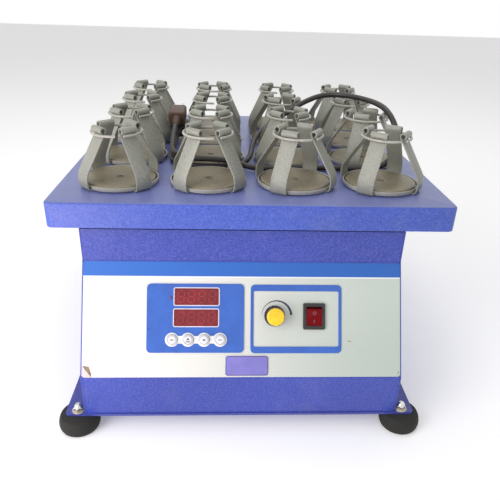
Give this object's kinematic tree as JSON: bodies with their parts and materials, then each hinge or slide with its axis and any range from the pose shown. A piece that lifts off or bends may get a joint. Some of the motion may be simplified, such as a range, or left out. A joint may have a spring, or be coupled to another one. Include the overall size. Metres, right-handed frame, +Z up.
{
  "type": "orbital shaker",
  "caption": "Bench orbital flask shaker: square deck of sprung flask clamps carried on cranks over a box with a sloping control panel, rubber feet and a loose mains lead.",
  "frame": {"origin": "on the floor, under the middle of the box that holds the shaker without its lead", "axes": "+Z up, -Y towards the user and the control panel, +X to the user's right; the cranks point to +X at rest"},
  "size_m": [0.457, 0.53, 0.3468],
  "materials": {
    "deck_blue": "satin hammered powder coat",
    "body_blue": "satin hammered powder coat",
    "plate_blue": "satin powder coat",
    "clamp_grey": "hammered paint",
    "wire_grey": "hammered paint",
    "foot_rubber": "matt",
    "bright_steel": "brushed",
    "plain_steel": "machined",
    "cast_aluminium": "machined",
    "motor_black": "satin",
    "belt_rubber": "matt",
    "label_ivory": "fine hatch",
    "bezel_blue": "satin",
    "window_red": "tinted gloss",
    "ring_white": "gloss",
    "button_white": "gloss",
    "plate_lavender": "satin",
    "knob_black": "satin",
    "cap_yellow": "gloss",
    "switch_black": "satin",
    "rocker_red": "gloss",
    "board_green": "satin",
    "module_black": "satin",
    "inlet_black": "satin",
    "cord_black": "satin",
    "plug_brown": "satin"
  },
  "bodies": {
    "base": {"base_plate": "plate_blue", "rubber_feet": "foot_rubber", "foot_bolts": "bright_steel", "front_cover": "body_blue", "side_cover_left": "body_blue", "side_cover_right": "body_blue", "rear_panel": "body_blue", "corner_posts": "plain_steel", "bearing_plate": "plain_steel", "power_inlet": "inlet_black", "control_board": "board_green", "display_modules": "module_black", "power_board": "board_green", "control_label": "label_ivory", "display_bezel": "bezel_blue", "display_windows": "window_red", "button_guide": "ring_white", "control_frame": "bezel_blue", "blank_plate": "plate_lavender", "speed_potentiometer": "module_black", "switch_housing": "switch_black", "bearing_housings": "cast_aluminium", "drive_belt": "belt_rubber", "motor": "motor_black", "motor_bracket": "plain_steel"},
    "drive_shaft": {"main_shaft": "bright_steel", "main_crank": "plain_steel", "driven_pulley": "cast_aluminium", "counterweight": "plain_steel"},
    "idler_1": {"idler_crank_1": "plain_steel"},
    "idler_2": {"idler_crank_2": "plain_steel"},
    "idler_3": {"idler_crank_3": "plain_steel"},
    "motor_rotor": {"motor_shaft": "bright_steel", "motor_pulley": "cast_aluminium"},
    "platform": {"platform_carrier": "cast_aluminium", "deck": "deck_blue", "clamp_arms_row_1": "clamp_grey", "clamp_arms_row_2": "clamp_grey", "clamp_arms_row_3": "clamp_grey", "clamp_arms_row_4": "clamp_grey", "clamp_seats": "clamp_grey", "clamp_rings": "wire_grey", "power_cord": "cord_black", "cord_connector": "cord_black", "cord_plug": "plug_brown", "plug_pins": "bright_steel"},
    "speed_knob": {"speed_shaft": "plain_steel", "knob_skirt": "knob_black", "knob_cap": "cap_yellow"},
    "power_rocker": {"switch_rocker": "rocker_red"},
    "button_a": {"button_1": "button_white"},
    "button_b": {"button_2": "button_white"},
    "button_c": {"button_3": "button_white"},
    "button_d": {"button_4": "button_white"}
  },
  "joints": [
    {"name": "crank_turn", "type": "hinge", "parent": "base", "child": "drive_shaft", "pos_m": [-0.0095, 0.036, 0.234], "axis": [0, 0, 1], "continuous": true},
    {"name": "platform_orbit", "type": "hinge", "parent": "drive_shaft", "child": "platform", "pos_m": [0, 0.036, 0.243], "axis": [0, 0, 1], "continuous": true},
    {"name": "motor_turn", "type": "hinge", "parent": "base", "child": "motor_rotor", "pos_m": [-0.0095, 0.166, 0.135], "axis": [0, 0, 1], "continuous": true},
    {"name": "idler_turn_1", "type": "hinge", "parent": "base", "child": "idler_1", "pos_m": [-0.0095, -0.094, 0.234], "axis": [0, 0, 1], "continuous": true},
    {"name": "idler_turn_2", "type": "hinge", "parent": "base", "child": "idler_2", "pos_m": [0.10308, 0.101, 0.234], "axis": [0, 0, 1], "continuous": true},
    {"name": "idler_turn_3", "type": "hinge", "parent": "base", "child": "idler_3", "pos_m": [-0.12208, 0.101, 0.234], "axis": [0, 0, 1], "continuous": true},
    {"name": "knob_turn", "type": "hinge", "parent": "base", "child": "speed_knob", "pos_m": [0.0262, -0.21473, 0.13911], "axis": [0, -0.8809, 0.4732], "range_deg": [-115, 155]},
    {"name": "rocker_tilt", "type": "hinge", "parent": "base", "child": "power_rocker", "pos_m": [0.0728, -0.21189, 0.13679], "axis": [-1, 0, 0], "range_deg": [0, 24]},
    {"name": "button_a_press", "type": "slide", "parent": "base", "child": "button_a", "axis": [0, 0.8809, -0.4732], "range_m": [0, 0.0012], "stiffness_N_per_m": 400, "springref_m": -0.002},
    {"name": "button_b_press", "type": "slide", "parent": "base", "child": "button_b", "axis": [0, 0.8809, -0.4732], "range_m": [0, 0.0012], "stiffness_N_per_m": 400, "springref_m": -0.002},
    {"name": "button_c_press", "type": "slide", "parent": "base", "child": "button_c", "axis": [0, 0.8809, -0.4732], "range_m": [0, 0.0012], "stiffness_N_per_m": 400, "springref_m": -0.002},
    {"name": "button_d_press", "type": "slide", "parent": "base", "child": "button_d", "axis": [0, 0.8809, -0.4732], "range_m": [0, 0.0012], "stiffness_N_per_m": 400, "springref_m": -0.002}
  ],
  "couplings": [
    {"joint": "platform_orbit", "follows": "crank_turn", "ratio": -1},
    {"joint": "motor_turn", "follows": "crank_turn", "ratio": 4},
    {"joint": "idler_turn_1", "follows": "crank_turn", "ratio": 1},
    {"joint": "idler_turn_2", "follows": "crank_turn", "ratio": 1},
    {"joint": "idler_turn_3", "follows": "crank_turn", "ratio": 1}
  ]
}
